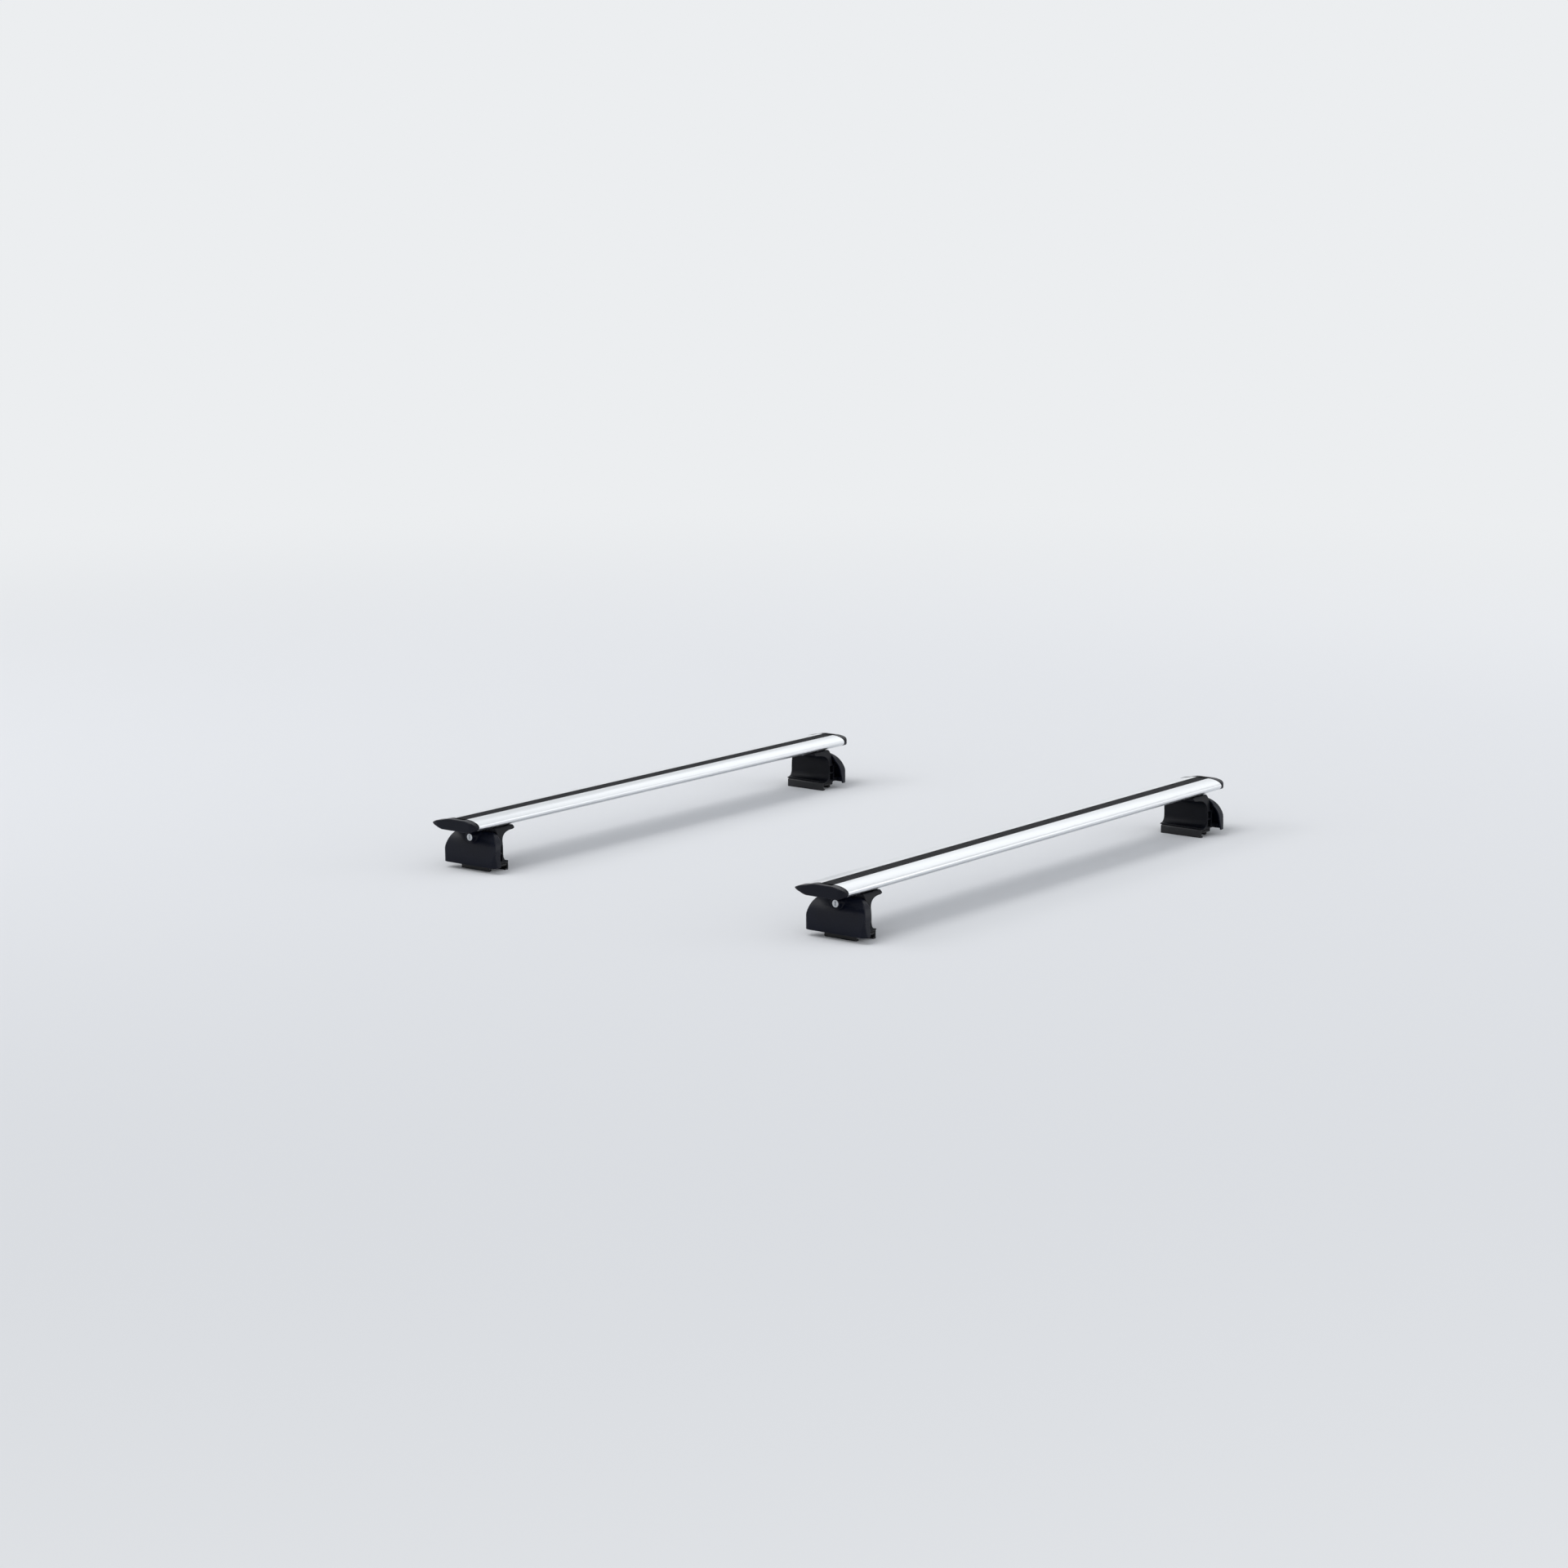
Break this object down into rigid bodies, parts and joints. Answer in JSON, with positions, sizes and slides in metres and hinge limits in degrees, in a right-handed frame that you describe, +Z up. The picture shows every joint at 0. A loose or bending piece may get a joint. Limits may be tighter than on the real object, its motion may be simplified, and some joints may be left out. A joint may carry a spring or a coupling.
{
  "type": "pair of roof crossbars",
  "caption": "Pair of wing-section aluminium roof crossbars with rubber-filled top track, swing end caps and lockable black feet that clamp onto flush roof rails.",
  "frame": {"origin": "middle of the pair on the plane under the rail hooks", "axes": "+X to the vehicle's front, where the bars' noses point; +Y to its left, along the bars; +Z up"},
  "size_m": [0.845, 1.06, 0.0925],
  "materials": {
    "bar_aluminium": "satin anodised",
    "strip_rubber": "ribbed matte",
    "black_plastic": "satin moulded",
    "pad_rubber": "matte",
    "black_steel": "black coated",
    "zinc_steel": "zinc plated",
    "lock_metal": "satin plated"
  },
  "bodies": {
    "crossbars": {"front_bar": "bar_aluminium", "rear_bar": "bar_aluminium", "front_strip": "strip_rubber", "rear_strip": "strip_rubber", "front_left_end_holder": "black_plastic", "front_left_foot_tower": "black_plastic", "front_left_rail_pad": "pad_rubber", "front_left_inner_bracket": "black_steel", "front_left_tee_plate": "zinc_steel", "front_right_end_holder": "black_plastic", "front_right_foot_tower": "black_plastic", "front_right_rail_pad": "pad_rubber", "front_right_inner_bracket": "black_steel", "front_right_tee_plate": "zinc_steel", "rear_left_end_holder": "black_plastic", "rear_left_foot_tower": "black_plastic", "rear_left_rail_pad": "pad_rubber", "rear_left_inner_bracket": "black_steel", "rear_left_tee_plate": "zinc_steel", "rear_right_end_holder": "black_plastic", "rear_right_foot_tower": "black_plastic", "rear_right_rail_pad": "pad_rubber", "rear_right_inner_bracket": "black_steel", "rear_right_tee_plate": "zinc_steel", "clamp_nuts": "zinc_steel", "saddle_screws": "zinc_steel", "bracket_screws": "zinc_steel"},
    "front_left_end_cap": {"front_left_end_cap": "black_plastic"},
    "front_left_cover": {"front_left_foot_cover": "black_plastic"},
    "front_left_lock": {"front_left_lock_core": "lock_metal"},
    "front_left_jaw": {"front_left_outer_jaw": "black_steel"},
    "front_left_bolt": {"front_left_clamp_bolt": "zinc_steel"},
    "front_right_end_cap": {"front_right_end_cap": "black_plastic"},
    "front_right_cover": {"front_right_foot_cover": "black_plastic"},
    "front_right_lock": {"front_right_lock_core": "lock_metal"},
    "front_right_jaw": {"front_right_outer_jaw": "black_steel"},
    "front_right_bolt": {"front_right_clamp_bolt": "zinc_steel"},
    "rear_left_end_cap": {"rear_left_end_cap": "black_plastic"},
    "rear_left_cover": {"rear_left_foot_cover": "black_plastic"},
    "rear_left_lock": {"rear_left_lock_core": "lock_metal"},
    "rear_left_jaw": {"rear_left_outer_jaw": "black_steel"},
    "rear_left_bolt": {"rear_left_clamp_bolt": "zinc_steel"},
    "rear_right_end_cap": {"rear_right_end_cap": "black_plastic"},
    "rear_right_cover": {"rear_right_foot_cover": "black_plastic"},
    "rear_right_lock": {"rear_right_lock_core": "lock_metal"},
    "rear_right_jaw": {"rear_right_outer_jaw": "black_steel"},
    "rear_right_bolt": {"rear_right_clamp_bolt": "zinc_steel"}
  },
  "joints": [
    {"name": "front_left_end_cap_swing", "type": "hinge", "parent": "crossbars", "child": "front_left_end_cap", "pos_m": [0.3255, 0.52, 0.0758], "axis": [0, -1, 0], "range_deg": [0, 90]},
    {"name": "front_left_cover_open", "type": "hinge", "parent": "crossbars", "child": "front_left_cover", "pos_m": [0.3675, 0.4945, 0.0168], "axis": [-1, 0, 0], "range_deg": [0, 50]},
    {"name": "front_left_lock_turn", "type": "hinge", "parent": "front_left_cover", "child": "front_left_lock", "pos_m": [0.3675, 0.489, 0.054], "axis": [0, 1, 0], "range_deg": [0, 90]},
    {"name": "front_left_jaw_slide", "type": "slide", "parent": "crossbars", "child": "front_left_jaw", "axis": [0, 1, 0], "range_m": [0, 0.004]},
    {"name": "front_left_bolt_turn", "type": "hinge", "parent": "front_left_jaw", "child": "front_left_bolt", "pos_m": [0.3675, 0.4865, 0.023], "axis": [0, 1, 0], "range_deg": [0, 1152]},
    {"name": "front_right_end_cap_swing", "type": "hinge", "parent": "crossbars", "child": "front_right_end_cap", "pos_m": [0.3255, -0.52, 0.0758], "axis": [0, -1, 0], "range_deg": [0, 90]},
    {"name": "front_right_cover_open", "type": "hinge", "parent": "crossbars", "child": "front_right_cover", "pos_m": [0.3675, -0.4945, 0.0168], "axis": [1, 0, 0], "range_deg": [0, 50]},
    {"name": "front_right_lock_turn", "type": "hinge", "parent": "front_right_cover", "child": "front_right_lock", "pos_m": [0.3675, -0.489, 0.054], "axis": [0, 1, 0], "range_deg": [0, 90]},
    {"name": "front_right_jaw_slide", "type": "slide", "parent": "crossbars", "child": "front_right_jaw", "axis": [0, -1, 0], "range_m": [0, 0.004]},
    {"name": "front_right_bolt_turn", "type": "hinge", "parent": "front_right_jaw", "child": "front_right_bolt", "pos_m": [0.3675, -0.4865, 0.023], "axis": [0, -1, 0], "range_deg": [0, 1152]},
    {"name": "rear_left_end_cap_swing", "type": "hinge", "parent": "crossbars", "child": "rear_left_end_cap", "pos_m": [-0.4095, 0.48, 0.0758], "axis": [0, -1, 0], "range_deg": [0, 90]},
    {"name": "rear_left_cover_open", "type": "hinge", "parent": "crossbars", "child": "rear_left_cover", "pos_m": [-0.3675, 0.4545, 0.0168], "axis": [-1, 0, 0], "range_deg": [0, 50]},
    {"name": "rear_left_lock_turn", "type": "hinge", "parent": "rear_left_cover", "child": "rear_left_lock", "pos_m": [-0.3675, 0.449, 0.054], "axis": [0, 1, 0], "range_deg": [0, 90]},
    {"name": "rear_left_jaw_slide", "type": "slide", "parent": "crossbars", "child": "rear_left_jaw", "axis": [0, 1, 0], "range_m": [0, 0.004]},
    {"name": "rear_left_bolt_turn", "type": "hinge", "parent": "rear_left_jaw", "child": "rear_left_bolt", "pos_m": [-0.3675, 0.4465, 0.023], "axis": [0, 1, 0], "range_deg": [0, 1152]},
    {"name": "rear_right_end_cap_swing", "type": "hinge", "parent": "crossbars", "child": "rear_right_end_cap", "pos_m": [-0.4095, -0.48, 0.0758], "axis": [0, -1, 0], "range_deg": [0, 90]},
    {"name": "rear_right_cover_open", "type": "hinge", "parent": "crossbars", "child": "rear_right_cover", "pos_m": [-0.3675, -0.4545, 0.0168], "axis": [1, 0, 0], "range_deg": [0, 50]},
    {"name": "rear_right_lock_turn", "type": "hinge", "parent": "rear_right_cover", "child": "rear_right_lock", "pos_m": [-0.3675, -0.449, 0.054], "axis": [0, 1, 0], "range_deg": [0, 90]},
    {"name": "rear_right_jaw_slide", "type": "slide", "parent": "crossbars", "child": "rear_right_jaw", "axis": [0, -1, 0], "range_m": [0, 0.004]},
    {"name": "rear_right_bolt_turn", "type": "hinge", "parent": "rear_right_jaw", "child": "rear_right_bolt", "pos_m": [-0.3675, -0.4465, 0.023], "axis": [0, -1, 0], "range_deg": [0, 1152]}
  ],
  "couplings": [
    {"joint": "front_left_bolt_turn", "follows": "front_left_jaw_slide", "rad_per_m": 5026.5},
    {"joint": "front_right_bolt_turn", "follows": "front_right_jaw_slide", "rad_per_m": 5026.5},
    {"joint": "rear_left_bolt_turn", "follows": "rear_left_jaw_slide", "rad_per_m": 5026.5},
    {"joint": "rear_right_bolt_turn", "follows": "rear_right_jaw_slide", "rad_per_m": 5026.5}
  ]
}
